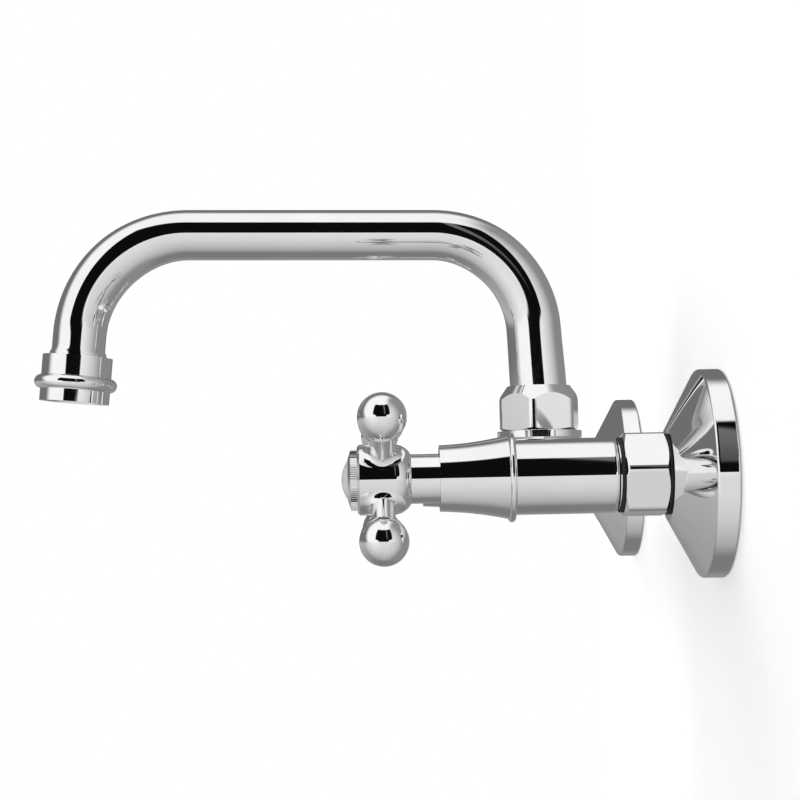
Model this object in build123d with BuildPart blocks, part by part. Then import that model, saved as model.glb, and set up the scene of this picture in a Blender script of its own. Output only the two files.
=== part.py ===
from build123d import *
import os
from math import cos, pi, radians, sin, tan

# Wall-mounted two-valve bridge kitchen tap, in millimetres.
# The wall is the plane Y = 0, the tap stands out of it towards -Y, and +Z is up.
# The origin is on the wall, midway between the two inlets. A distance is measured out from the wall.

# Layout
inlet_spacing = 200.0
spout_distance = 50.3

# Clearances
running_gap = 0.05
loose_gap = 0.3
seat_gap = 0.04

# Wall flanges and wall tails
flange_radius = 34.4
flange_band = 7.2
flange_depth = 17.7
flange_neck_radius = 15.5
flange_wall = 1.6
flange_rounding = 1.2
tail_radius = 10.48
tail_shank_radius = 10.2
tail_bore = 7.5
tail_in_wall = 16.0
tail_runout = 1.0

# Union nuts
union_flats = 26.0
union_length = 14.2
union_gap = 1.0
union_corner_deg = 8.0
union_lip = 2.0
union_bevel = 0.2
nut_rounding = 2.8
union_thread_radius = 11.5
tail_shoulder = 4.0
washer_depth = 2.0

# Valve bodies and bridge
barrel_radius = 12.5
barrel_length = 33.9
barrel_stub = 7.4
barrel_rounding = 2.3
inlet_bore = 8.0
inlet_bore_depth = 12.8
seat_radius = 5.0
seat_depth = 2.5
chamber_radius = 9.5
bar_radius = 9.5
bar_bore = 6.5
bar_stub = 17.5
riser_bore = 5.6
turret_wall = 1.6
turret_drop = 12.8
turret_rounding = 1.0
boss_ledge = 3.6
boss_height = 2.5
boss_top = 18.1
collar_wall = 1.75
collar_height = 9.9
socket_depth = 24.3
casting_fillet = 2.0

# Headworks
headwork_nose = 11.0
headwork_collar_radius = 12.2
headwork_collar = 1.2
headwork_flats = 19.0
headwork_hex = 6.8
gland_radius = 8.6
gland_length = 14.0
guide_flats = 12.4
guide_depth = 14.0

# Spindles
spindle_radius = 4.0
spindle_screw_radius = 3.0
spindle_screw = 16.0
spindle_shoulder_radius = 5.4
spindle_shoulder = 2.3
square_flats = 6.0
square_length = 12.5
circlip_radius = 5.0
circlip_groove = 0.6
circlip_depth = 0.8
ring_wire = 0.9
gland_ring_inset = 6.0

# Plungers and seat washers
plunger_length = 16.0
plunger_foot_radius = 7.2
plunger_foot = 1.5
plunger_floor = 3.6
seat_washer_radius = 6.6
seat_washer = 3.0
fixing_radius = 1.45
fixing_head_radius = 2.6
fixing_head = 1.4
fixing_length = 3.0

# Bell shrouds
bell_rim_radius = 14.9
bell_rim = 2.2
bell_front_radius = 10.95
bell_length = 24.7
bell_wall = 1.2
bell_waist_radius = 11.7
bell_waist = 12.2
bell_collar = 6.0

# Cross handles
neck_radius = 8.15
neck_length = 9.4
neck_overlap = 1.8
neck_bore = 5.6
neck_bore_depth = 5.0
hub_radius = 11.65
hub_shoulder_radius = 6.9
hub_length = 17.7
hub_chamfer = 0.8
hub_recess_radius = 7.0
hub_recess = 3.2
arm_radius = 3.9
arm_reach = 28.0
arm_inset = 8.4
arm_flare = 2.4
arm_first_deg = 45.0
arm_count = 4
spigot_radius = 2.4
spigot_length = 4.5
ball_radius = 8.0
screw_radius = 1.9
screw_length = 8.0
screw_head_radius = 3.5
screw_head = 2.2

# Index rings and buttons
index_radius = 10.06
index_band = 2.2
index_chamfer = 0.9
index_lip_radius = 7.0
index_bore = 5.0
knurl_count = 84
knurl_depth = 0.28
button_radius = 6.5
button_dome = 2.1
button_seat = 1.3

# Spout nut, spout tail and swivel washer
spout_nut_wall = 1.65
spout_nut_height = 17.1
spout_nut_corner_deg = -14.0
spout_nut_cone = 6.2
spout_nut_chamfer = 1.0
spout_nut_lip = 1.2
tail_collar = 2.9
glide_depth = 1.2
spout_ring_inset = 5.0
spout_ring_pitch = 8.0

# Spout tube
tube_radius = 10.85
tube_wall = 1.2
riser_upright = 3.8
riser_lean_deg = 3.3
run_height = 94.3
run_length = 169.5
run_rise_deg = 1.0
bend_radius = 39.3
outlet_leg = 47.2
outlet_lean_deg = 5.4

# Outlet cup and aerator
cup_seat = 0.75
cup_wall = 1.75
cup_height = 7.7
cup_socket = 3.0
aerator_seal = 1.2
bead_overhang = 2.4
bead_height = 5.3
nozzle_inset = 0.05
nozzle_wall = 1.7
nozzle_height = 4.6
housing_wall = 1.75
insert_height = 6.6
screen_depth = 0.4
screen_lip = 0.8
screen_lip_width = 0.6
jet_radius = 0.9
jet_pitch = 2.7
jet_row_count = 3
first_jet_count = 6

# Radii that follow from the sizes above
collar_radius = tube_radius + collar_wall
turret_radius = collar_radius + turret_wall
boss_radius = collar_radius + boss_ledge
spout_nut_flats = 2 * (collar_radius + spout_nut_wall)
cup_thread_radius = tube_radius + cup_seat
cup_radius = cup_thread_radius + cup_wall
bead_radius = cup_radius + bead_overhang
nozzle_radius = cup_radius - nozzle_inset
nozzle_mouth_radius = nozzle_radius - nozzle_wall
insert_radius = cup_thread_radius - housing_wall - running_gap

# Distances out from the wall that follow from the sizes above
union_back = flange_depth + union_gap
shoulder_back = union_back + union_lip
washer_back = shoulder_back + tail_shoulder
stub_back = washer_back + washer_depth
barrel_back = stub_back + barrel_stub
barrel_front = barrel_back + barrel_length
seat_back = stub_back + inlet_bore_depth
seat_face = seat_back + seat_depth
headwork_back = barrel_front - headwork_nose
collar_front = barrel_front + headwork_collar
hex_front = collar_front + headwork_hex
gland_front = hex_front + gland_length
guide_front = headwork_back + guide_depth
shoulder_front = guide_front - running_gap
screw_front = shoulder_front - spindle_shoulder
screw_back = screw_front - spindle_screw
seat_washer_back = seat_face + seat_gap
plunger_back = seat_washer_back + seat_washer
plunger_front = plunger_back + plunger_length
bell_back = barrel_front + loose_gap
bell_front = bell_back + bell_length
neck_back = bell_front - neck_overlap
hub_start = neck_back + neck_overlap + neck_length
hub_front = hub_start + hub_length
hub_drop = hub_radius - neck_radius
hub_full = hub_start + (hub_drop * (2 * hub_shoulder_radius - hub_drop))**0.5
arm_distance = hub_front - arm_inset
recess_floor = hub_front - hub_recess
square_front = recess_floor - loose_gap
square_back = square_front - square_length
index_front = hub_front + index_band
lip_front = index_front + index_chamfer

# Heights that follow from the sizes above
nut_bottom = boss_top + loose_gap
nut_top = nut_bottom + spout_nut_height
collar_top = boss_top + collar_height
socket_floor = collar_top - socket_depth
tail_collar_bottom = collar_top + running_gap
tail_collar_top = tail_collar_bottom + tail_collar
glide_top = tail_collar_top + glide_depth
socket_radius = tube_radius + running_gap

# Distances along the outlet, from the cup's upper end
seal_end = cup_socket + aerator_seal
bead_start = cup_height + 2 * running_gap
nozzle_start = bead_start + bead_height
nozzle_end = nozzle_start + nozzle_height
insert_end = seal_end + insert_height
screen_end = insert_end + screen_depth
lip_end = screen_end + screen_lip

os.makedirs("parts", exist_ok=True)


def keep(piece, node):
    piece.part.label = node
    export_step(piece.part, f"parts/{node}.step")


def turn(points, plane, axis, mode=Mode.ADD):
    with BuildSketch(plane) as outline:
        with BuildLine():
            Polyline(*points, close=True)
        make_face()
    revolve(outline.sketch, axis=axis, mode=mode)


def valve_frame(valve_x):
    # In the profile plane of a valve, x is the radius and y the distance out from the wall.
    profile = Plane(origin=(valve_x, 0, 0), x_dir=(1, 0, 0), z_dir=(0, 0, -1))
    return profile, Axis((valve_x, 0, 0), (0, -1, 0))


def spout_frame():
    # In the profile plane of the spout's base, x is the radius and y the height.
    profile = Plane(origin=(0, -spout_distance, 0), x_dir=(1, 0, 0), z_dir=(0, -1, 0))
    return profile, Axis((0, -spout_distance, 0), (0, 0, 1))


def facing_out(valve_x, distance):
    return Plane(origin=(valve_x, -distance, 0), x_dir=(1, 0, 0), z_dir=(0, -1, 0))


def ring_profile(inner, outer, low, high):
    return [(inner, low), (outer, low), (outer, high), (inner, high)]


def hexagon(plane, flats, length, corner_deg, rounding=0):
    with BuildSketch(plane) as outline:
        RegularPolygon(flats / 2, 6, major_radius=False, rotation=corner_deg)
        if rounding:
            fillet(outline.vertices(), radius=rounding)
    extrude(outline.sketch, amount=length)


def bevel_profile(flats, low, high):
    # The turned outline that rounds off the corners of a nut at both ends.
    face = flats / 2
    corner = face / cos(pi / 6) + union_bevel
    drop = (corner - face) * tan(pi / 6)
    return [(0, low), (face, low), (corner, low + drop), (corner, high - drop), (face, high), (0, high)]


def make_wall_flange(valve_x):
    profile, axis = valve_frame(valve_x)
    bore = tail_radius + running_gap
    inner_depth = flange_depth - flange_wall
    with BuildPart() as wall_flange:
        turn([(flange_radius - flange_wall, 0), (flange_radius, 0), (flange_radius, flange_band),
              (flange_neck_radius, flange_depth), (bore, flange_depth), (bore, inner_depth),
              (flange_neck_radius - flange_wall / 2, inner_depth),
              (flange_radius - flange_wall, flange_band - flange_wall / 2)], profile, axis)
        rim = wall_flange.edges().filter_by(GeomType.CIRCLE).group_by(SortBy.RADIUS)[-1].sort_by(Axis.Y)
        fillet(rim[0], radius=flange_rounding)
        fillet(rim[-1], radius=flange_wall / 2)
    return wall_flange


def make_wall_tail(valve_x):
    profile, axis = valve_frame(valve_x)
    shoulder_radius = union_thread_radius - 2 * running_gap
    with BuildPart() as wall_tail:
        turn([(tail_bore, -tail_in_wall), (tail_radius, -tail_in_wall), (tail_radius, -tail_runout),
              (tail_shank_radius, -tail_runout), (tail_shank_radius, shoulder_back),
              (shoulder_radius, shoulder_back), (shoulder_radius, washer_back), (tail_bore, washer_back)],
             profile, axis)
    return wall_tail


def make_union_nut(valve_x):
    profile, axis = valve_frame(valve_x)
    union_front = union_back + union_length
    lip_bore = tail_radius + 2 * running_gap
    with BuildPart() as union_nut:
        hexagon(facing_out(valve_x, union_back), union_flats, union_length, union_corner_deg, nut_rounding)
        turn(bevel_profile(union_flats, union_back, union_front), profile, axis, Mode.INTERSECT)
        turn([(0, union_back), (lip_bore, union_back), (lip_bore, shoulder_back),
              (union_thread_radius + running_gap, shoulder_back),
              (union_thread_radius + running_gap, union_front), (0, union_front)],
             profile, axis, Mode.SUBTRACT)
    return union_nut


def make_union_washer(valve_x):
    profile, axis = valve_frame(valve_x)
    with BuildPart() as union_washer:
        turn(ring_profile(tail_bore, union_thread_radius - running_gap, washer_back, stub_back),
             profile, axis)
    return union_washer


def make_headwork(valve_x):
    profile, axis = valve_frame(valve_x)
    nose_radius = chamber_radius - running_gap
    ring_radius = spindle_radius + ring_wire
    ring_centre = gland_front - gland_ring_inset
    with BuildPart() as headwork:
        turn([(0, headwork_back), (nose_radius, headwork_back), (nose_radius, barrel_front),
              (headwork_collar_radius, barrel_front), (headwork_collar_radius, collar_front),
              (gland_radius, collar_front), (gland_radius, gland_front), (0, gland_front)],
             profile, axis)
        hexagon(facing_out(valve_x, collar_front), headwork_flats, headwork_hex, 0)
        with BuildSketch(facing_out(valve_x, headwork_back)):
            RegularPolygon(guide_flats / 2 + running_gap, 6, major_radius=False)
        extrude(amount=guide_depth, mode=Mode.SUBTRACT)
        turn(ring_profile(0, spindle_radius + running_gap, guide_front, gland_front),
             profile, axis, Mode.SUBTRACT)
        turn(ring_profile(0, ring_radius, ring_centre - ring_wire, ring_centre + ring_wire),
             profile, axis, Mode.SUBTRACT)
    return headwork


def make_gland_ring(valve_x):
    # The ring's section is cut flat where it bears on the spindle and in its groove.
    profile, axis = valve_frame(valve_x)
    middle = gland_front - gland_ring_inset
    inner = spindle_radius + running_gap
    outer = spindle_radius + ring_wire - running_gap
    half = ring_wire - 2 * running_gap
    with BuildPart() as gland_ring:
        turn(ring_profile(inner, outer, middle - half, middle + half), profile, axis)
        fillet(gland_ring.edges().filter_by(GeomType.CIRCLE), radius=(outer - inner) / 3)
    return gland_ring


def make_spindle(valve_x):
    profile, axis = valve_frame(valve_x)
    groove_radius = spindle_radius - circlip_groove
    groove_back = gland_front + running_gap
    groove_front = groove_back + circlip_depth + 2 * running_gap
    with BuildPart() as spindle:
        turn([(0, screw_back), (spindle_screw_radius, screw_back), (spindle_screw_radius, screw_front),
              (spindle_shoulder_radius, screw_front), (spindle_shoulder_radius, shoulder_front),
              (spindle_radius, shoulder_front), (spindle_radius, groove_back), (groove_radius, groove_back),
              (groove_radius, groove_front), (spindle_radius, groove_front), (spindle_radius, square_back),
              (0, square_back)], profile, axis)
        with BuildSketch(facing_out(valve_x, square_back)):
            Rectangle(square_flats, square_flats)
        extrude(amount=square_length)
        turn(ring_profile(0, screw_radius + running_gap, recess_floor - screw_length - loose_gap,
                          square_front), profile, axis, Mode.SUBTRACT)
    return spindle


def make_circlip(valve_x):
    clip_back = gland_front + 2 * running_gap
    with BuildPart() as circlip:
        with BuildSketch(facing_out(valve_x, clip_back)):
            Circle(circlip_radius)
            Circle(spindle_radius - circlip_groove + running_gap, mode=Mode.SUBTRACT)
            with Locations((circlip_radius / 2 + spindle_radius / 2, 0)):
                Rectangle(circlip_radius, spindle_radius / 2, mode=Mode.SUBTRACT)
        extrude(amount=circlip_depth)
    return circlip


def make_plunger(valve_x):
    profile, axis = valve_frame(valve_x)
    with BuildPart() as plunger:
        hexagon(facing_out(valve_x, plunger_back), guide_flats, plunger_length, 0)
        turn(ring_profile(0, plunger_foot_radius, plunger_back, plunger_back + plunger_foot), profile, axis)
        turn(ring_profile(0, spindle_screw_radius + running_gap, plunger_back + plunger_floor, plunger_front),
             profile, axis, Mode.SUBTRACT)
        turn(ring_profile(0, fixing_radius + running_gap, plunger_back,
                          plunger_back + fixing_length + running_gap), profile, axis, Mode.SUBTRACT)
    return plunger


def make_seat_washer(valve_x):
    profile, axis = valve_frame(valve_x)
    with BuildPart() as seat_washer_disc:
        turn(ring_profile(fixing_radius + running_gap, seat_washer_radius, seat_washer_back, plunger_back),
             profile, axis)
    return seat_washer_disc


def make_washer_screw(valve_x):
    profile, axis = valve_frame(valve_x)
    head_back = seat_washer_back - fixing_head
    tip = plunger_back + fixing_length
    with BuildPart() as washer_screw:
        turn([(0, head_back), (fixing_head_radius, head_back), (fixing_head_radius, seat_washer_back),
              (fixing_radius, seat_washer_back), (fixing_radius, tip), (0, tip)], profile, axis)
    return washer_screw


def make_bell(valve_x):
    profile, axis = valve_frame(valve_x)
    bore = gland_radius + running_gap
    bead = bell_rim / 2
    rim_inside = bell_rim_radius - bead - bell_wall / 2
    flare_back = bell_back + bell_rim
    waist = flare_back + bell_waist
    collar_back = bell_front - bell_collar
    with BuildPart() as bell:
        with BuildSketch(profile):
            with BuildLine():
                CenterArc((bell_rim_radius - bead, bell_back + bead), bead, 270, 180)
                Polyline((bell_rim_radius - bead, bell_back), (rim_inside, bell_back),
                         (rim_inside, flare_back))
                ThreePointArc((rim_inside, flare_back), (bell_waist_radius - bell_wall, waist),
                              (bell_front_radius - bell_wall, collar_back))
                Polyline((bell_front_radius - bell_wall, collar_back), (bore, collar_back),
                         (bore, bell_front), (bell_front_radius, bell_front))
                ThreePointArc((bell_front_radius, bell_front), (bell_waist_radius, waist),
                              (bell_rim_radius - bead, flare_back))
            make_face()
        revolve(axis=axis)
    return bell


def arm_frame(valve_x, step):
    # An arm's profile plane has x as the radius and y the distance out from the valve's axis.
    angle = radians(arm_first_deg + 360 / arm_count * step)
    along = Vector(cos(angle), 0, sin(angle))
    origin = Vector(valve_x, -arm_distance, 0)
    return Plane(origin=origin, x_dir=(0, -1, 0), z_dir=Vector(0, -1, 0).cross(along)), Axis(origin, along)


def make_handle_hub(valve_x):
    profile, axis = valve_frame(valve_x)
    square_hole = square_flats + 2 * running_gap
    with BuildPart() as handle_hub:
        with BuildSketch(profile):
            with BuildLine():
                Polyline((0, neck_back), (neck_radius, neck_back), (neck_radius, hub_start))
                TangentArc((hub_radius, hub_full), (neck_radius, hub_start), tangent=(0, -1))
                Polyline((hub_radius, hub_full), (hub_radius, hub_front - hub_chamfer),
                         (hub_radius - hub_chamfer, hub_front), (0, hub_front), (0, neck_back))
            make_face()
        revolve(axis=axis)
        for step in range(arm_count):
            arm_profile, arm_axis = arm_frame(valve_x, step)
            turn(ring_profile(0, spigot_radius + running_gap, hub_radius - spigot_length - running_gap,
                              hub_radius), arm_profile, arm_axis, Mode.SUBTRACT)
        with BuildSketch(facing_out(valve_x, neck_back)):
            Rectangle(square_hole, square_hole)
        extrude(amount=hub_front - neck_back, mode=Mode.SUBTRACT)
        turn(ring_profile(0, neck_bore, neck_back, neck_back + neck_bore_depth), profile, axis, Mode.SUBTRACT)
        turn(ring_profile(0, spindle_radius + running_gap, neck_back, square_back + running_gap),
             profile, axis, Mode.SUBTRACT)
        turn(ring_profile(0, hub_recess_radius, recess_floor, hub_front), profile, axis, Mode.SUBTRACT)
    return handle_hub


def make_handle_arm(valve_x, step):
    # The arm flares where it meets the hub, and a spigot holds it in the hub's side.
    arm_profile, arm_axis = arm_frame(valve_x, step)
    hub_profile, hub_axis = valve_frame(valve_x)
    seat_radius_on_hub = hub_radius + running_gap / 2
    root_radius = arm_radius + arm_flare
    flare_end = hub_radius + arm_flare
    ball_start = arm_reach - (ball_radius**2 - arm_radius**2)**0.5
    with BuildPart() as handle_arm:
        with BuildSketch(arm_profile):
            with BuildLine():
                Polyline((0, arm_reach + ball_radius), (0, hub_radius / 2), (root_radius, hub_radius / 2),
                         (root_radius, hub_radius))
                CenterArc((root_radius, flare_end), arm_flare, 270, -90)
                Line((arm_radius, flare_end), (arm_radius, ball_start))
                ThreePointArc((arm_radius, ball_start), (ball_radius, arm_reach),
                              (0, arm_reach + ball_radius))
            make_face()
        revolve(axis=arm_axis)
        turn(ring_profile(0, seat_radius_on_hub, neck_back, hub_front), hub_profile, hub_axis, Mode.SUBTRACT)
        turn(ring_profile(0, spigot_radius, hub_radius - spigot_length, seat_radius_on_hub + running_gap),
             arm_profile, arm_axis)
    return handle_arm


def make_handle_screw(valve_x):
    profile, axis = valve_frame(valve_x)
    head_front = recess_floor + screw_head
    with BuildPart() as handle_screw:
        turn([(0, recess_floor - screw_length), (screw_radius, recess_floor - screw_length),
              (screw_radius, recess_floor), (screw_head_radius, recess_floor),
              (screw_head_radius, head_front), (0, head_front)], profile, axis)
        with BuildSketch(facing_out(valve_x, head_front)):
            Rectangle(2 * screw_head_radius, screw_radius / 2)
        extrude(amount=-screw_head / 2, mode=Mode.SUBTRACT)
    return handle_screw


def make_index_ring(valve_x):
    profile, axis = valve_frame(valve_x)
    with BuildPart() as index_ring:
        with BuildSketch(facing_out(valve_x, hub_front)):
            Circle(index_radius)
            with PolarLocations(index_radius, knurl_count):
                RegularPolygon(knurl_depth, 4, major_radius=True, mode=Mode.SUBTRACT)
        extrude(amount=index_band)
        turn([(0, index_front), (index_radius - knurl_depth, index_front), (index_lip_radius, lip_front),
              (0, lip_front)], profile, axis)
        turn(ring_profile(index_bore, hub_recess_radius - running_gap, recess_floor + running_gap, hub_front),
             profile, axis)
        turn(ring_profile(0, index_bore, recess_floor, lip_front), profile, axis, Mode.SUBTRACT)
        turn(ring_profile(0, button_radius + running_gap, lip_front - button_seat, lip_front),
             profile, axis, Mode.SUBTRACT)
    return index_ring


def make_index_button(valve_x):
    profile, axis = valve_frame(valve_x)
    seat = lip_front - button_seat
    stem_back = recess_floor + screw_head + running_gap
    stem_radius = index_bore - running_gap
    with BuildPart() as index_button:
        with BuildSketch(profile):
            with BuildLine():
                Polyline((0, lip_front + button_dome), (0, stem_back), (stem_radius, stem_back),
                         (stem_radius, seat), (button_radius, seat), (button_radius, lip_front))
                TangentArc((0, lip_front + button_dome), (button_radius, lip_front), tangent=(1, 0))
            make_face()
        revolve(axis=axis)
    return index_button


def make_valve_body(valve_x):
    # A stub beside the barrel carries the end of the bridge.
    profile, axis = valve_frame(valve_x)
    bar_plane = Plane(origin=(valve_x, -spout_distance, 0), x_dir=(0, 1, 0), z_dir=(-valve_x, 0, 0))
    with BuildPart() as valve_body:
        with BuildSketch(profile):
            with BuildLine():
                Polyline((0, barrel_front), (0, barrel_back), (barrel_radius - barrel_rounding, barrel_back))
                CenterArc((barrel_radius - barrel_rounding, barrel_back + barrel_rounding),
                          barrel_rounding, 270, 90)
                Polyline((barrel_radius, barrel_back + barrel_rounding), (barrel_radius, barrel_front),
                         (0, barrel_front))
            make_face()
        revolve(axis=axis)
        with BuildSketch(bar_plane):
            Circle(bar_radius)
        extrude(amount=bar_stub)
        fillet(valve_body.edges().filter_by(GeomType.BSPLINE), radius=casting_fillet)
        turn(ring_profile(0, union_thread_radius, stub_back, seat_back), profile, axis)
        turn([(0, stub_back), (inlet_bore, stub_back), (inlet_bore, seat_back), (seat_radius, seat_back),
              (seat_radius, seat_face), (chamber_radius, seat_face), (chamber_radius, barrel_front),
              (0, barrel_front)], profile, axis, Mode.SUBTRACT)
        with BuildSketch(bar_plane):
            Circle(bar_bore)
        extrude(amount=bar_stub, mode=Mode.SUBTRACT)
    return valve_body


def make_bridge():
    profile, axis = spout_frame()
    bar_half = inlet_spacing / 2 - bar_stub
    bar_plane = Plane(origin=(-bar_half, -spout_distance, 0), x_dir=(0, 1, 0), z_dir=(1, 0, 0))
    with BuildPart() as bridge:
        with BuildSketch(bar_plane):
            Circle(bar_radius)
        extrude(amount=2 * bar_half)
        with BuildSketch(Plane.XY.offset(-turret_drop)):
            with Locations((0, -spout_distance)):
                Circle(turret_radius)
        extrude(amount=turret_drop + boss_top - boss_height)
        fillet(bridge.edges().filter_by(GeomType.BSPLINE), radius=casting_fillet)
        foot = bridge.edges().filter_by(GeomType.CIRCLE).sort_by(Axis.Z)[0]
        fillet(foot, radius=turret_rounding)
        turn([(0, 0), (turret_radius, boss_top - 2 * boss_height), (boss_radius, boss_top - boss_height),
              (boss_radius, boss_top), (collar_radius, boss_top), (collar_radius, collar_top),
              (0, collar_top)], profile, axis)
        with BuildSketch(bar_plane):
            Circle(bar_bore)
        extrude(amount=2 * bar_half, mode=Mode.SUBTRACT)
        turn([(0, 0), (riser_bore, 0), (riser_bore, socket_floor), (socket_radius, socket_floor),
              (socket_radius, collar_top), (0, collar_top)], profile, axis, Mode.SUBTRACT)
    return bridge


def make_spout_nut():
    profile, axis = spout_frame()
    thread = collar_radius + running_gap
    top_bore = tube_radius + 3 * running_gap
    corner = spout_nut_flats / 2 / cos(pi / 6)
    cone_bottom = nut_top - spout_nut_cone
    with BuildPart() as spout_nut:
        hexagon(Plane(origin=(0, -spout_distance, nut_bottom)), spout_nut_flats, spout_nut_height,
                spout_nut_corner_deg, nut_rounding)
        turn([(0, nut_bottom), (spout_nut_flats / 2, nut_bottom), (corner, nut_bottom + spout_nut_chamfer),
              (corner, cone_bottom), (tube_radius + spout_nut_lip, nut_top), (0, nut_top)],
             profile, axis, Mode.INTERSECT)
        turn([(0, nut_bottom), (thread, nut_bottom), (thread, glide_top + running_gap),
              (top_bore, glide_top + running_gap), (top_bore, nut_top), (0, nut_top)],
             profile, axis, Mode.SUBTRACT)
    return spout_nut


def make_spout_tail():
    profile, axis = spout_frame()
    plug_radius = tube_radius - tube_wall - running_gap
    bore = plug_radius - tube_wall
    bottom = socket_floor + loose_gap
    groove_radius = tube_radius - 2 * ring_wire
    with BuildPart() as spout_tail:
        turn([(bore, bottom), (tube_radius, bottom), (tube_radius, tail_collar_bottom),
              (collar_radius - loose_gap, tail_collar_bottom), (collar_radius - loose_gap, tail_collar_top),
              (plug_radius, tail_collar_top), (plug_radius, tail_collar_top + riser_upright),
              (bore, tail_collar_top + riser_upright)], profile, axis)
        for row in range(2):
            centre = bottom + spout_ring_inset + spout_ring_pitch * row
            turn(ring_profile(groove_radius, tube_radius, centre - ring_wire, centre + ring_wire),
                 profile, axis, Mode.SUBTRACT)
    return spout_tail


def make_spout_ring(row):
    profile, axis = spout_frame()
    centre = socket_floor + loose_gap + spout_ring_inset + spout_ring_pitch * row
    with BuildPart() as spout_ring:
        with BuildSketch(profile):
            with Locations((tube_radius - ring_wire, centre)):
                Circle(ring_wire - running_gap)
        revolve(axis=axis)
    return spout_ring


def make_glide_ring():
    profile, axis = spout_frame()
    with BuildPart() as glide_ring:
        turn(ring_profile(tube_radius + running_gap, collar_radius - loose_gap, tail_collar_top, glide_top),
             profile, axis)
    return glide_ring


def spout_corners():
    # Corner points of the spout's centre line as (distance out, height) before the bends are rounded.
    lean = radians(riser_lean_deg)
    rise = radians(run_rise_deg)
    outlet = radians(outlet_lean_deg)
    base = (spout_distance, tail_collar_top)
    upright = (spout_distance, tail_collar_top + riser_upright)
    back = (spout_distance + (run_height - upright[1]) * tan(lean), run_height)
    front = (back[0] + run_length * cos(rise), back[1] + run_length * sin(rise))
    end = (front[0] + outlet_leg * sin(outlet), front[1] - outlet_leg * cos(outlet))
    return base, upright, back, front, end


def outlet_frame():
    # The outlet's own frame starts at the cup's upper end, with z the way the water leaves.
    outlet = radians(outlet_lean_deg)
    leave = Vector(0, -sin(outlet), -cos(outlet))
    distance, height = spout_corners()[-1]
    start = Vector(0, -distance, height)
    profile = Plane(origin=start, x_dir=(1, 0, 0), z_dir=Vector(1, 0, 0).cross(leave))
    return profile, Axis(start, leave), leave


def make_spout_tube():
    base, upright, back, front, end = spout_corners()
    outlet = radians(outlet_lean_deg)
    tip = (end[0] + cup_socket * sin(outlet), end[1] - cup_socket * cos(outlet))
    with BuildPart() as spout_tube:
        with BuildLine(Plane(origin=(0, 0, 0), x_dir=(0, -1, 0), z_dir=(-1, 0, 0))) as route:
            FilletPolyline(base, upright, back, front, tip, radius=[bend_radius, bend_radius, bend_radius])
        with BuildSketch(Plane(origin=route.line @ 0, z_dir=route.line % 0)):
            Circle(tube_radius)
            Circle(tube_radius - tube_wall, mode=Mode.SUBTRACT)
        sweep(path=route.line)
    return spout_tube


def make_spout_cup():
    profile, axis, leave = outlet_frame()
    with BuildPart() as spout_cup:
        turn([(tube_radius + running_gap, 0), (cup_radius, 0), (cup_radius, cup_height),
              (cup_thread_radius, cup_height), (cup_thread_radius, cup_socket),
              (tube_radius + running_gap, cup_socket)], profile, axis)
    return spout_cup


def make_aerator_seal():
    profile, axis, leave = outlet_frame()
    with BuildPart() as seal:
        turn(ring_profile(tube_radius - tube_wall, cup_thread_radius - running_gap, cup_socket, seal_end),
             profile, axis)
    return seal


def make_aerator_housing():
    profile, axis, leave = outlet_frame()
    neck = cup_thread_radius - running_gap
    bore = insert_radius + running_gap
    lip_radius = insert_radius - screen_lip_width
    bead_half = bead_height / 2
    with BuildPart() as housing:
        with BuildSketch(profile):
            with BuildLine():
                Polyline((bore, seal_end), (neck, seal_end), (neck, bead_start),
                         (bead_radius - bead_half, bead_start))
                CenterArc((bead_radius - bead_half, bead_start + bead_half), bead_half, 270, 180)
                Polyline((bead_radius - bead_half, nozzle_start), (nozzle_radius, nozzle_start),
                         (nozzle_radius, nozzle_end), (nozzle_mouth_radius, nozzle_end),
                         (bore, lip_end), (lip_radius, lip_end), (lip_radius, screen_end),
                         (bore, screen_end), (bore, seal_end))
            make_face()
        revolve(axis=axis)
    return housing


def jet_pattern(distance_along):
    profile, axis, leave = outlet_frame()
    origin = axis.position + leave * distance_along
    plane = Plane(origin=origin, x_dir=(1, 0, 0), z_dir=leave)
    with BuildSketch(plane) as pattern:
        Circle(insert_radius)
        Circle(jet_radius, mode=Mode.SUBTRACT)
        for row in range(1, jet_row_count + 1):
            with PolarLocations(jet_pitch * row, first_jet_count * row):
                Circle(jet_radius, mode=Mode.SUBTRACT)
    return pattern.sketch


def make_aerator_insert():
    with BuildPart() as insert:
        extrude(jet_pattern(seal_end), amount=insert_height)
    return insert


def make_aerator_screen():
    with BuildPart() as screen:
        extrude(jet_pattern(insert_end), amount=screen_depth)
    return screen


side_pieces = {
    "wall_flange": make_wall_flange,
    "wall_tail": make_wall_tail,
    "union_nut": make_union_nut,
    "union_washer": make_union_washer,
    "headwork": make_headwork,
    "gland_ring": make_gland_ring,
    "spindle": make_spindle,
    "circlip": make_circlip,
    "plunger": make_plunger,
    "seat_washer": make_seat_washer,
    "washer_screw": make_washer_screw,
    "bell": make_bell,
    "valve_body": make_valve_body,
    "handle_hub": make_handle_hub,
    "handle_screw": make_handle_screw,
    "index_ring": make_index_ring,
    "index_button": make_index_button,
}

for side, valve_x in (("left", -inlet_spacing / 2), ("right", inlet_spacing / 2)):
    for node, make_piece in side_pieces.items():
        keep(make_piece(valve_x), f"{side}_{node}")
    for step in range(arm_count):
        keep(make_handle_arm(valve_x, step), f"{side}_handle_arm_{step + 1}")

keep(make_bridge(), "bridge")
keep(make_spout_nut(), "spout_nut")
keep(make_spout_tail(), "spout_tail")
keep(make_spout_ring(0), "spout_ring_lower")
keep(make_spout_ring(1), "spout_ring_upper")
keep(make_glide_ring(), "glide_ring")
keep(make_spout_tube(), "spout_tube")
keep(make_spout_cup(), "spout_cup")
keep(make_aerator_seal(), "aerator_seal")
keep(make_aerator_housing(), "aerator_housing")
keep(make_aerator_insert(), "aerator_insert")
keep(make_aerator_screen(), "aerator_screen")
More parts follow.
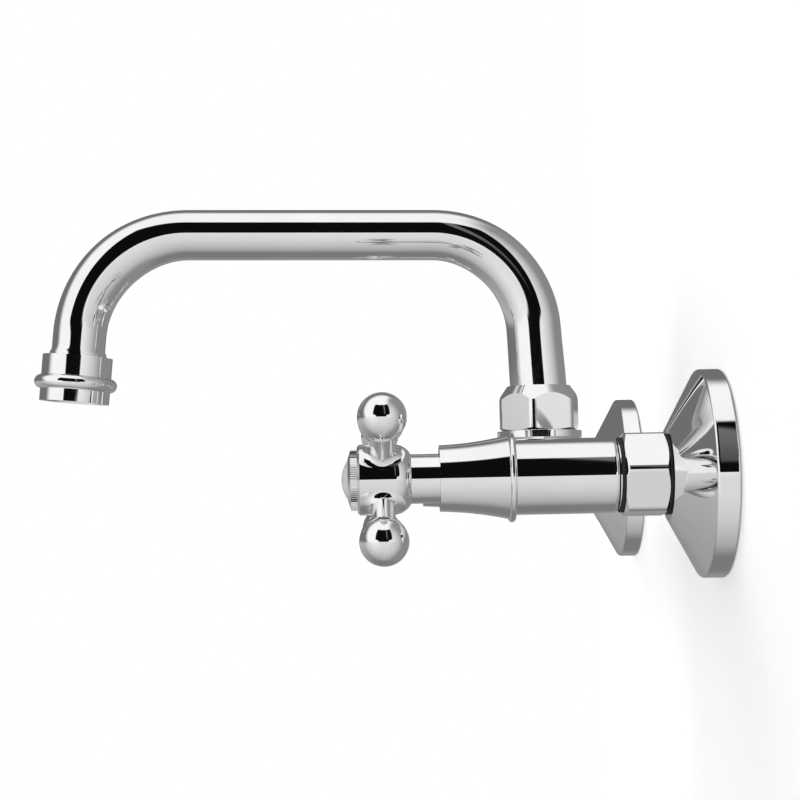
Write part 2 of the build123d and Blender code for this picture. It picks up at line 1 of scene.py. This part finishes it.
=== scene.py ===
from math import asin, cos, pi, radians, sin

import bpy
from mathutils import Matrix, Vector


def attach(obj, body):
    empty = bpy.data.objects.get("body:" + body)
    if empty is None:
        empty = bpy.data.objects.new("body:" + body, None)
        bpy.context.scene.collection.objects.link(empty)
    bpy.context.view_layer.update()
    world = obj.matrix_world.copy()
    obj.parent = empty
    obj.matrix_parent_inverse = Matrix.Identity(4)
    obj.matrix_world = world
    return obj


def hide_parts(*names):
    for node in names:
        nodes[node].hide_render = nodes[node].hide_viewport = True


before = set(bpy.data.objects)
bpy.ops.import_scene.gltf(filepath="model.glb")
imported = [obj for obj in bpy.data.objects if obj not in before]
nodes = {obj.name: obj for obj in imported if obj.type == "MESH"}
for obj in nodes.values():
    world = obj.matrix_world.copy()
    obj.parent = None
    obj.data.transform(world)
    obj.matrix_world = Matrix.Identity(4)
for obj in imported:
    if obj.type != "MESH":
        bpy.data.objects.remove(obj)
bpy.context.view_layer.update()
bpy.ops.object.select_all(action="DESELECT")

# The wall is Y = 0, the tap stands out towards -Y and the camera looks along -X, in metres.


def newMaterial(name):
    material = bpy.data.materials.new(name)
    material.use_nodes = True
    tree = material.node_tree
    return material, tree, tree.nodes["Principled BSDF"]


def objectNoise(tree, scale, detail=4.0):
    # Noise that is fixed to the piece itself.
    place = tree.nodes.new("ShaderNodeTexCoord")
    noise = tree.nodes.new("ShaderNodeTexNoise")
    noise.inputs["Scale"].default_value = scale
    noise.inputs["Detail"].default_value = detail
    tree.links.new(place.outputs["Object"], noise.inputs["Vector"])
    return noise.outputs["Fac"]


def remap(tree, source, low, high, fromLow=0.0, fromHigh=1.0):
    ramp = tree.nodes.new("ShaderNodeMapRange")
    ramp.inputs["From Min"].default_value = fromLow
    ramp.inputs["From Max"].default_value = fromHigh
    ramp.inputs["To Min"].default_value = low
    ramp.inputs["To Max"].default_value = high
    tree.links.new(source, ramp.inputs["Value"])
    return ramp.outputs["Result"]


def maths(tree, operation, first, second=None):
    node = tree.nodes.new("ShaderNodeMath")
    node.operation = operation
    for socket, value in zip(node.inputs, (first, second)):
        if value is None:
            continue
        if isinstance(value, float):
            socket.default_value = value
        else:
            tree.links.new(value, socket)
    return node.outputs["Value"]


def bump(tree, shader, height, strength, distance):
    node = tree.nodes.new("ShaderNodeBump")
    node.inputs["Strength"].default_value = strength
    node.inputs["Distance"].default_value = distance
    tree.links.new(height, node.inputs["Height"])
    tree.links.new(node.outputs["Normal"], shader.inputs["Normal"])


def twoTone(tree, source, dark, light):
    mix = tree.nodes.new("ShaderNodeMix")
    mix.data_type = "RGBA"
    mix.inputs["A"].default_value = (*dark, 1.0)
    mix.inputs["B"].default_value = (*light, 1.0)
    tree.links.new(source, mix.inputs["Factor"])
    return mix.outputs["Result"]


chromeFinish = {
    "tint": (0.93, 0.93, 0.935),
    "worn": (0.88, 0.885, 0.895),
    "tintSpan": (0.35, 0.65),       # noise levels between which worn turns into tint
    "polish": (0.025, 0.06),
    "polishSpan": (0.3, 0.7),
    "hazeScale": 38.0,
    "rippleScale": 55.0,
    "rippleDetail": 1.0,
    "rippleStrength": 0.3,
    "rippleDepth": 0.00002,
}


def chromePlate():
    values = chromeFinish
    material, tree, shader = newMaterial("chromePlate")
    haze = objectNoise(tree, values["hazeScale"])
    tone = remap(tree, haze, 0.0, 1.0, *values["tintSpan"])
    tree.links.new(twoTone(tree, tone, values["worn"], values["tint"]), shader.inputs["Base Color"])
    polish = remap(tree, haze, *values["polish"], *values["polishSpan"])
    tree.links.new(polish, shader.inputs["Roughness"])
    shader.inputs["Metallic"].default_value = 1.0
    ripple = objectNoise(tree, values["rippleScale"], values["rippleDetail"])
    bump(tree, shader, ripple, values["rippleStrength"], values["rippleDepth"])
    return material


plainFinishes = {
    "brass": {"dark": (0.52, 0.35, 0.13), "light": (0.70, 0.50, 0.22), "metal": 1.0,
              "rough": (0.22, 0.38), "scale": 420.0, "depth": 0.00002},
    "rubber": {"dark": (0.012, 0.012, 0.013), "light": (0.03, 0.03, 0.031), "metal": 0.0,
               "rough": (0.55, 0.8), "scale": 900.0, "depth": 0.00002},
    "nylon": {"dark": (0.62, 0.61, 0.57), "light": (0.74, 0.73, 0.70), "metal": 0.0,
              "rough": (0.35, 0.5), "scale": 600.0, "depth": 0.00001},
    "whitePlastic": {"dark": (0.72, 0.73, 0.73), "light": (0.83, 0.83, 0.82), "metal": 0.0,
                     "rough": (0.3, 0.45), "scale": 500.0, "depth": 0.00001},
    "stainless": {"dark": (0.45, 0.45, 0.46), "light": (0.62, 0.62, 0.63), "metal": 1.0,
                  "rough": (0.2, 0.35), "scale": 800.0, "depth": 0.00001},
    "porcelain": {"dark": (0.78, 0.78, 0.77), "light": (0.86, 0.86, 0.85), "metal": 0.0,
                  "rough": (0.06, 0.12), "scale": 260.0, "depth": 0.000005},
}
grainSpan = (0.3, 0.7)
grainStrength = 0.4


def plainFinish(name):
    values = plainFinishes[name]
    material, tree, shader = newMaterial(name)
    grain = objectNoise(tree, values["scale"])
    tone = remap(tree, grain, 0.0, 1.0, *grainSpan)
    tree.links.new(twoTone(tree, tone, values["dark"], values["light"]), shader.inputs["Base Color"])
    tree.links.new(remap(tree, grain, *values["rough"], *grainSpan), shader.inputs["Roughness"])
    shader.inputs["Metallic"].default_value = values["metal"]
    bump(tree, shader, grain, grainStrength, values["depth"])
    return material


chrome = chromePlate()
finishes = {name: plainFinish(name) for name in plainFinishes}
print("materials made")

finishOfNode = {
    "union_washer": "rubber",
    "gland_ring": "rubber",
    "seat_washer": "rubber",
    "spout_ring_lower": "rubber",
    "spout_ring_upper": "rubber",
    "aerator_seal": "rubber",
    "spindle": "brass",
    "plunger": "brass",
    "spout_tail": "brass",
    "handle_screw": "stainless",
    "washer_screw": "stainless",
    "circlip": "stainless",
    "aerator_screen": "stainless",
    "glide_ring": "nylon",
    "aerator_insert": "whitePlastic",
    "index_button": "porcelain",
}


def dressNodes():
    for name, piece in nodes.items():
        kind = name.removeprefix("left_").removeprefix("right_")
        finish = finishes[finishOfNode[kind]] if kind in finishOfNode else chrome
        piece.data.materials.clear()
        piece.data.materials.append(finish)


dressNodes()
print("nodes dressed")


def finishPiece(piece, name, finish, slot, body, *replaced):
    piece.name = name
    piece.data.name = name
    piece.data.materials.clear()
    piece.data.materials.append(finish)
    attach(piece, body)
    if replaced:
        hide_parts(*replaced)


smoothAngle = radians(40)
valveX = {"left": -0.1, "right": 0.1}

spoutTube = {
    "radius": 0.01085,
    "wall": 0.0012,
    "start": (0.0503, 0.03095),     # distance from the wall, and height
    "footLeg": 0.0038,
    "runHeight": 0.0943,
    "runLength": 0.1695,
    "lean": 3.3,
    "rise": 1.0,
    "outletLean": 5.4,
    "outletLeg": 0.0502,
    "kneeBend": 0.0393,
    "riserBend": 0.0393,
    "outletBend": 0.0420,
    "riserWidth": 0.97,             # widths in the plane of the bends, as shares of the round tube's
    "riserTurnWidth": 0.958,
    "runWidth": 0.893,
    "outletTurnWidth": 0.955,
    "outletWidth": 0.935,
    "roundingLeg": 0.0015,          # the last two lengths, where the tube grows round again
    "roundLeg": 0.0040,
    "sides": 96,
}


def bendReach(radius, turn):
    # From a bend's end to the corner that it rounds.
    half = radians(turn) / 2
    return radius * sin(half) / cos(half)


def tubeSteps():
    # For each stretch: a run's length or a bend's radius, degrees turned, rings, and width at its end.
    tube = spoutTube
    lean = radians(tube["lean"])
    kneeHeight = tube["start"][1] + tube["footLeg"]
    riser = (tube["runHeight"] - kneeHeight) / cos(lean)
    firstTurn = 90.0 - tube["lean"] - tube["rise"]
    lastTurn = 90.0 + tube["rise"] - tube["outletLean"]
    kneeReach = bendReach(tube["kneeBend"], tube["lean"])
    riserReach = bendReach(tube["riserBend"], firstTurn)
    outletReach = bendReach(tube["outletBend"], lastTurn)
    mouth = tube["roundingLeg"] + tube["roundLeg"]
    return [
        (tube["footLeg"] - kneeReach, 0.0, 2, 1.0),
        (tube["kneeBend"], tube["lean"], 3, 1.0),
        (riser - kneeReach - riserReach, 0.0, 5, tube["riserWidth"]),
        (tube["riserBend"], firstTurn / 2, 16, tube["riserTurnWidth"]),
        (tube["riserBend"], firstTurn / 2, 16, tube["runWidth"]),
        (tube["runLength"] - riserReach - outletReach, 0.0, 10, tube["runWidth"]),
        (tube["outletBend"], lastTurn / 2, 16, tube["outletTurnWidth"]),
        (tube["outletBend"], lastTurn / 2, 16, tube["outletWidth"]),
        (tube["outletLeg"] - outletReach - mouth, 0.0, 3, tube["outletWidth"]),
        (tube["roundingLeg"], 0.0, 2, 1.0),
        (tube["roundLeg"], 0.0, 1, 1.0),
    ]


def makeSpoutTube():
    # One ring is drawn out along the tube's way, squeezed in the plane of the bends as it goes.
    out, up = spoutTube["start"]
    bpy.ops.object.select_all(action="DESELECT")
    bpy.ops.mesh.primitive_circle_add(vertices=spoutTube["sides"], radius=spoutTube["radius"],
                                      location=(0.0, -out, up))
    tube = bpy.context.object
    bpy.ops.object.transform_apply(location=True, rotation=True, scale=True)
    bpy.ops.object.mode_set(mode="EDIT")
    bpy.ops.mesh.select_all(action="SELECT")
    place, heading, width = Vector((0.0, -out, up)), radians(90.0), 1.0
    sideways = Vector((1.0, 0.0, 0.0))
    for size, bend, count, endWidth in tubeSteps():
        startWidth, turn = width, radians(bend) / count
        for step in range(count):
            newHeading = heading - turn
            across = Vector((0.0, sin(newHeading), cos(newHeading)))
            if turn:
                centre = place - Vector((0.0, sin(heading), cos(heading))) * size
                nextPlace = centre + across * size
            else:
                nextPlace = place + Vector((0.0, -cos(heading), sin(heading))) * (size / count)
            ease = (step + 1) / count
            newWidth = startWidth + (endWidth - startWidth) * ease * ease * (3.0 - 2.0 * ease)
            bpy.ops.mesh.extrude_region_move(TRANSFORM_OT_translate={"value": nextPlace - place})
            if turn:
                bpy.ops.transform.rotate(value=-turn, orient_axis="X", center_override=nextPlace)
            ringAxes = Matrix((sideways, across, sideways.cross(across))).transposed()
            bpy.ops.transform.resize(value=(1.0, newWidth / width, 1.0), orient_type="GLOBAL",
                                     orient_matrix=ringAxes, orient_matrix_type="GLOBAL",
                                     center_override=nextPlace)
            place, heading, width = nextPlace, newHeading, newWidth
    bpy.ops.mesh.select_all(action="SELECT")
    bpy.ops.mesh.normals_make_consistent(inside=False)
    bpy.ops.object.mode_set(mode="OBJECT")
    skin = tube.modifiers.new("skin", "SOLIDIFY")
    skin.thickness = spoutTube["wall"]
    skin.offset = -1.0
    bpy.ops.object.modifier_apply(modifier="skin")
    bpy.ops.object.shade_smooth_by_angle(angle=smoothAngle)
    finishPiece(tube, "bentSpoutTube", chrome, "chrome_plate", "spout", "spout_tube")


makeSpoutTube()

handleArm = {
    "hubRadius": 0.01165,
    "armRadius": 0.0039,
    "reach": 0.0280,
    "ballRadius": 0.0080,
    "distance": 0.1117,
    "rootFillet": 0.0034,
    "neckFillet": 0.0012,
    "firstAngle": 45.0,
    "count": 4,
    "sides": 72,
    "ballRows": 40,
    "neckRows": 8,
    "rootRows": 12,
    "sink": 0.0008,             # how deep the root's last ring lies in the hub
    "footShare": 0.7,           # where the closed end lies, as a share of the hub's radius
}


def armOutline():
    # Radius and distance from the valve's axis, from the ball's pole down to the root fillet.
    radius, ball, reach = handleArm["armRadius"], handleArm["ballRadius"], handleArm["reach"]
    fillet, ballRows, neckRows = handleArm["neckFillet"], handleArm["ballRows"], handleArm["neckRows"]
    drop = ((ball + fillet)**2 - (radius + fillet)**2)**0.5
    start = asin((radius + fillet) / (ball + fillet))       # where ball and fillet meet
    outline = []
    for k in range(1, ballRows + 1):
        angle = (pi - start) * k / ballRows
        outline.append((ball * sin(angle), reach + ball * cos(angle)))
    for k in range(1, neckRows + 1):
        angle = start + (pi / 2 - start) * k / neckRows
        outline.append((radius + fillet - fillet * sin(angle), reach - drop + fillet * cos(angle)))
    return outline


def armRings(along, across, outwards):
    # The root is the rolled fillet between the arm and the round hub, which no plain sweep gives.
    hub, fillet, rootRows = handleArm["hubRadius"], handleArm["rootFillet"], handleArm["rootRows"]
    rolled = handleArm["armRadius"] + fillet
    spokes = [radians(360.0 / handleArm["sides"] * k) for k in range(handleArm["sides"])]
    rings = [[along * height + (across * sin(a) + outwards * cos(a)) * width for a in spokes]
             for width, height in armOutline()]
    for k in range(rootRows + 1):
        ring = []
        for a in spokes:
            aside = across * (rolled * sin(a))
            upright = along * ((hub + fillet)**2 - (rolled * sin(a))**2)**0.5
            toArm = -(across * sin(a) + outwards * cos(a))
            toHub = -(upright + aside).normalized()
            middle = upright + aside + outwards * (rolled * cos(a))
            ring.append(middle + toArm.slerp(toHub, k / rootRows) * fillet)
        rings.append(ring)
    rings.append([point - (along * point.dot(along) + across * point.dot(across)).normalized()
                  * handleArm["sink"] for point in rings[-1]])
    return rings


def makeHandleArm(side, step):
    tilt = radians(handleArm["firstAngle"] + 360.0 / handleArm["count"] * step)
    along = Vector((cos(tilt), 0.0, sin(tilt)))
    across = Vector((-sin(tilt), 0.0, cos(tilt)))
    origin = Vector((valveX[side], -handleArm["distance"], 0.0))
    rings = armRings(along, across, Vector((0.0, -1.0, 0.0)))
    points = [origin + point for ring in rings for point in ring]
    pole, foot = len(points), len(points) + 1
    points += [origin + along * (handleArm["reach"] + handleArm["ballRadius"]),
               origin + along * (handleArm["hubRadius"] * handleArm["footShare"])]
    sides = handleArm["sides"]
    last = (len(rings) - 1) * sides
    faces = []
    for first in range(0, last, sides):
        for k in range(sides):
            nextK = (k + 1) % sides
            faces.append((first + k, first + nextK, first + sides + nextK, first + sides + k))
    faces += [(pole, (k + 1) % sides, k) for k in range(sides)]
    faces += [(foot, last + k, last + (k + 1) % sides) for k in range(sides)]
    mesh = bpy.data.meshes.new("handleArm")
    mesh.from_pydata([tuple(point) for point in points], [], faces)
    arm = bpy.data.objects.new("handleArm", mesh)
    bpy.context.scene.collection.objects.link(arm)
    bpy.ops.object.select_all(action="DESELECT")
    bpy.context.view_layer.objects.active = arm
    arm.select_set(True)
    bpy.ops.object.mode_set(mode="EDIT")
    bpy.ops.mesh.select_all(action="SELECT")
    bpy.ops.mesh.normals_make_consistent(inside=False)
    bpy.ops.object.mode_set(mode="OBJECT")
    bpy.ops.object.shade_smooth_by_angle(angle=smoothAngle)
    finishPiece(arm, f"{side}HandleArm{step + 1}", chrome, "chrome_plate", f"{side}_tap_handle",
                f"{side}_handle_arm_{step + 1}")


for side in ("left", "right"):
    for step in range(handleArm["count"]):
        makeHandleArm(side, step)

# Painted shade: black rings that darken the gaps either side of each union nut.
shadeRings = {
    "FlangeShadeRing": {"back": 0.01778, "width": 0.00084, "hole": 0.01025, "rim": 0.0134},
    "ValveShadeRing": {"back": 0.03298, "width": 0.00104, "hole": 0.0115, "rim": 0.0124},
}
ringSides = 96
ringBevel = 0.00015


def makeShadeRing(side, name):
    # Painted shade: a black ring in the rubber finish fills the gap at each end of the union nut,
    # where there is only deep shade.
    values = shadeRings[name]
    centre = Vector((valveX[side], -values["back"], 0.0))
    bpy.ops.object.select_all(action="DESELECT")
    bpy.ops.mesh.primitive_circle_add(vertices=ringSides, radius=values["hole"], location=centre,
                                      rotation=(radians(90), 0, 0))
    ring = bpy.context.object
    bpy.ops.object.transform_apply(location=True, rotation=True, scale=True)
    bpy.ops.object.mode_set(mode="EDIT")
    bpy.ops.mesh.select_all(action="SELECT")
    bpy.ops.mesh.extrude_region_move()
    bpy.ops.transform.resize(value=(values["rim"] / values["hole"],) * 3, center_override=centre)
    bpy.ops.mesh.select_all(action="SELECT")
    bpy.ops.mesh.extrude_region_move(TRANSFORM_OT_translate={"value": (0, -values["width"], 0)})
    bpy.ops.mesh.select_all(action="SELECT")
    bpy.ops.mesh.normals_make_consistent(inside=False)
    bpy.ops.object.mode_set(mode="OBJECT")
    edges = ring.modifiers.new("edges", "BEVEL")
    edges.width = ringBevel
    edges.segments = 2
    bpy.ops.object.modifier_apply(modifier="edges")
    bpy.ops.object.shade_smooth_by_angle(angle=smoothAngle)
    finishPiece(ring, side + name, finishes["rubber"], "black_rubber", "base")


for side in ("left", "right"):
    for name in shadeRings:
        makeShadeRing(side, name)
print("spout tube, handle arms and gap rings made")

stageValues = {
    "wallGap": 0.0003,
    "wallWidth": 0.47,
    "wallHeight": 0.9,
    "wallTone": 0.86,
    "floorDrop": 0.62,
    "floorCentre": -0.3,
    "floorSize": 3.0,
    "floorTone": 0.8,
    "grainScale": 30.0,
    "grainTone": 0.01,
    "roughness": 0.9,
    "lift": (0.68, 0.38),       # at the wall's far end and beside the near flange
    "liftSpan": (-0.23, 0.05),
}


def backdropMaterial(name, tone):
    # Pale paint that the camera sees lifted towards white, and that is clear from behind.
    material, tree, shader = newMaterial(name)
    grain, spread = objectNoise(tree, stageValues["grainScale"]), stageValues["grainTone"]
    tree.links.new(twoTone(tree, grain, (tone - spread,) * 3, (tone + spread,) * 3),
                   shader.inputs["Base Color"])
    shader.inputs["Roughness"].default_value = stageValues["roughness"]
    shader.inputs["Specular IOR Level"].default_value = 0.0
    glow = tree.nodes.new("ShaderNodeEmission")
    rays = tree.nodes.new("ShaderNodeLightPath")
    place = tree.nodes.new("ShaderNodeTexCoord")
    split = tree.nodes.new("ShaderNodeSeparateXYZ")
    tree.links.new(place.outputs["Object"], split.inputs["Vector"])
    fade = remap(tree, split.outputs["X"], *stageValues["lift"], *stageValues["liftSpan"])
    strength = maths(tree, "MULTIPLY", rays.outputs["Is Camera Ray"], fade)
    tree.links.new(strength, glow.inputs["Strength"])
    both = tree.nodes.new("ShaderNodeAddShader")
    tree.links.new(shader.outputs["BSDF"], both.inputs[0])
    tree.links.new(glow.outputs["Emission"], both.inputs[1])
    clear = tree.nodes.new("ShaderNodeBsdfTransparent")
    side = tree.nodes.new("ShaderNodeNewGeometry")
    oneSided = tree.nodes.new("ShaderNodeMixShader")
    tree.links.new(side.outputs["Backfacing"], oneSided.inputs["Fac"])
    tree.links.new(both.outputs["Shader"], oneSided.inputs[1])
    tree.links.new(clear.outputs["BSDF"], oneSided.inputs[2])
    tree.links.new(oneSided.outputs["Shader"], tree.nodes["Material Output"].inputs["Surface"])
    return material


def makeWallAndFloor():
    width, height = stageValues["wallWidth"], stageValues["wallHeight"]
    bpy.ops.mesh.primitive_plane_add(size=1.0, location=(0, stageValues["wallGap"], 0),
                                     rotation=(radians(90), 0, 0))
    wall = bpy.context.object
    wall.name = "stageWall"
    wall.scale = (width, height, 1.0)
    bpy.ops.object.transform_apply(location=True, rotation=True, scale=True)
    wall.data.materials.append(backdropMaterial("wallPaint", stageValues["wallTone"]))
    bpy.ops.mesh.primitive_plane_add(
        size=stageValues["floorSize"],
        location=(0, stageValues["floorCentre"], -stageValues["floorDrop"]))
    floor = bpy.context.object
    floor.name = "stageFloor"
    floor.data.materials.append(backdropMaterial("floorPaint", stageValues["floorTone"]))
    for board in (wall, floor):
        board.visible_glossy = False      # the studio below stands for both in the chrome


makeWallAndFloor()

# Tones run from 0 to 1. A span is where a tone starts and ends, an edge its middle and half its width,
# both along a direction's x, y or z, or along y / x for the sides of the card and the door.
studio = {
    "floorTones": (0.30, 0.77),         # behind the tap and towards the camera
    "floorSpan": (-0.25, 1.0),
    "floorShade": 0.09,
    "shadeStart": (-0.8, 0.15),
    "shadeEnd": (-0.05, 0.2),
    "frontFloor": 0.28,
    "frontEdge": (0.45, 0.3),
    "horizon": (-0.02, 0.07),
    "roomTones": (0.17, 1.0),           # behind the tap and in the tent
    "tentTilt": 0.65,
    "tentEdge": (0.12, 0.22),
    "wallTones": (0.28, 0.88),          # far and near
    "wallSpan": (0.0, 0.9),
    "wallShade": 0.26,
    "wallEdge": (0.35, 0.15),
    "cardTone": 0.004,
    "cardAhead": (0.05, 0.03),
    "cardLeft": (-0.50, 0.03),
    "cardRight": (0.36, 0.03),
    "cardLow": (0.005, 0.02),
    "cardHigh": (0.83, 0.02),
    "cardShoulder": (0.15, 0.06),
    "cardStep": 0.36,
    "cardFlare": 0.20,
    "doorTone": 0.16,
    "doorLeft": (0.182, 0.012),
    "doorRight": (0.30, 0.02),
    "doorLow": (0.2, 0.04),
    "doorFade": (0.45, 1.0),
    "doorSpan": (0.2, 0.7),
}


def softStep(tree, source, edge, width):
    ramp = tree.nodes.new("ShaderNodeMapRange")
    ramp.interpolation_type = "SMOOTHSTEP"
    ramp.inputs["From Min"].default_value = edge - width
    ramp.inputs["From Max"].default_value = edge + width
    tree.links.new(source, ramp.inputs["Value"])
    return ramp.outputs["Result"]


def overlap(tree, low, high):
    return maths(tree, "MULTIPLY", low, maths(tree, "SUBTRACT", 1.0, high))


def between(tree, source, lowEdge, highEdge):
    return overlap(tree, softStep(tree, source, *lowEdge), softStep(tree, source, *highEdge))


def blendValues(tree, first, second, factor):
    start = maths(tree, "MULTIPLY", first, maths(tree, "SUBTRACT", 1.0, factor))
    return maths(tree, "ADD", start, maths(tree, "MULTIPLY", second, factor))


def studioRoom(tree, x, y, z, upwards):
    # White tent on the camera's side and overhead, grey room behind, and a floor that fades backwards.
    shade = between(tree, x, studio["shadeStart"], studio["shadeEnd"])
    down = maths(tree, "SUBTRACT", remap(tree, x, *studio["floorTones"], *studio["floorSpan"]),
                 maths(tree, "MULTIPLY", shade, studio["floorShade"]))
    front = softStep(tree, maths(tree, "MULTIPLY", y, -1.0), *studio["frontEdge"])
    front = maths(tree, "MULTIPLY", front, maths(tree, "ADD", maths(tree, "MINIMUM", z, 0.0), 1.0))
    down = maths(tree, "ADD", down, maths(tree, "MULTIPLY", front, studio["frontFloor"]))
    tent = maths(tree, "ADD", x, maths(tree, "MULTIPLY", upwards, studio["tentTilt"]))
    upper = remap(tree, softStep(tree, tent, *studio["tentEdge"]), *studio["roomTones"])
    openRoom = blendValues(tree, down, upper, softStep(tree, z, *studio["horizon"]))
    board = remap(tree, x, *studio["wallTones"], *studio["wallSpan"])
    board = maths(tree, "MINIMUM", board, maths(tree, "MAXIMUM", openRoom, studio["wallShade"]))
    return blendValues(tree, openRoom, board, softStep(tree, y, *studio["wallEdge"]))


def studioCard(tree, x, z, slope, upwards):
    # One dark card stands on the camera's side, and spreads to both sides above its shoulder.
    shoulder = maths(tree, "MULTIPLY", softStep(tree, z, *studio["cardShoulder"]), studio["cardStep"])
    spread = maths(tree, "ADD", shoulder, maths(tree, "MULTIPLY", upwards, studio["cardFlare"]))
    inside = overlap(tree, softStep(tree, maths(tree, "ADD", slope, spread), *studio["cardLeft"]),
                     softStep(tree, maths(tree, "SUBTRACT", slope, spread), *studio["cardRight"]))
    ahead = softStep(tree, x, *studio["cardAhead"])
    level = between(tree, z, studio["cardLow"], studio["cardHigh"])
    return maths(tree, "MULTIPLY", maths(tree, "MULTIPLY", inside, ahead), level)


def studioDoor(tree, z, slope):
    # A narrow grey door in the card, for the rims of the wall flanges.
    opening = between(tree, slope, studio["doorLeft"], studio["doorRight"])
    fade = maths(tree, "MULTIPLY", softStep(tree, z, *studio["doorLow"]),
                 remap(tree, z, *studio["doorFade"], *studio["doorSpan"]))
    return maths(tree, "MULTIPLY", opening, fade)


def makeStudio():
    world = bpy.data.worlds.new("studio")
    bpy.context.scene.world = world
    world.use_nodes = True
    tree = world.node_tree
    background = tree.nodes["Background"]
    background.inputs["Color"].default_value = (1.0, 1.0, 1.0, 1.0)
    direction = tree.nodes.new("ShaderNodeTexCoord")
    split = tree.nodes.new("ShaderNodeSeparateXYZ")
    tree.links.new(direction.outputs["Generated"], split.inputs["Vector"])
    x, y, z = (split.outputs[axis] for axis in "XYZ")
    upwards = maths(tree, "MAXIMUM", z, 0.0)
    slope = maths(tree, "DIVIDE", y, maths(tree, "MAXIMUM", x, 0.01))       # 0.01 keeps it finite
    door = maths(tree, "MULTIPLY", studioDoor(tree, z, slope), studio["doorTone"])
    cardLevel = maths(tree, "ADD", door, studio["cardTone"])
    level = blendValues(tree, studioRoom(tree, x, y, z, upwards), cardLevel,
                        studioCard(tree, x, z, slope, upwards))
    rays = tree.nodes.new("ShaderNodeLightPath")
    seen = maths(tree, "MAXIMUM", level, rays.outputs["Is Camera Ray"])
    tree.links.new(seen, background.inputs["Strength"])


makeStudio()

lamps = {
    "key": {"place": (-0.5, -1.2, 0.8), "target": (0.0, -0.05, 0.0), "size": 0.8, "power": 6.0},
}


def makeLamps():
    for name, values in lamps.items():
        place = Vector(values["place"])
        bpy.ops.object.light_add(type="AREA", location=place)
        lamp = bpy.context.object
        lamp.name = name
        lamp.data.size = values["size"]
        lamp.data.energy = values["power"]
        lamp.visible_glossy = False       # chrome shows the studio, not the lamp
        aim = Vector(values["target"]) - place
        lamp.rotation_euler = aim.to_track_quat("-Z", "Y").to_euler()


makeLamps()
print("stage and light made")

cameraValues = {
    "place": (0.6937, -0.115, -0.0036),
    "lens": 81.0,
    "sensor": 36.0,
    "yaw": 0.917,
    "pitch": 2.87,
    "roll": -1.15,
}


def makeCamera():
    yaw, pitch = radians(cameraValues["yaw"]), radians(cameraValues["pitch"])
    look = Vector((-cos(pitch) * cos(yaw), cos(pitch) * sin(yaw), sin(pitch)))
    turn = look.to_track_quat("-Z", "Y").to_matrix()
    bpy.ops.object.camera_add(location=cameraValues["place"])
    camera = bpy.context.object
    camera.data.lens = cameraValues["lens"]
    camera.data.sensor_width = cameraValues["sensor"]
    camera.rotation_euler = (turn @ Matrix.Rotation(radians(cameraValues["roll"]), 3, "Z")).to_euler()
    bpy.context.scene.camera = camera


makeCamera()
bpy.context.scene.view_settings.view_transform = "Standard"
print("camera set")
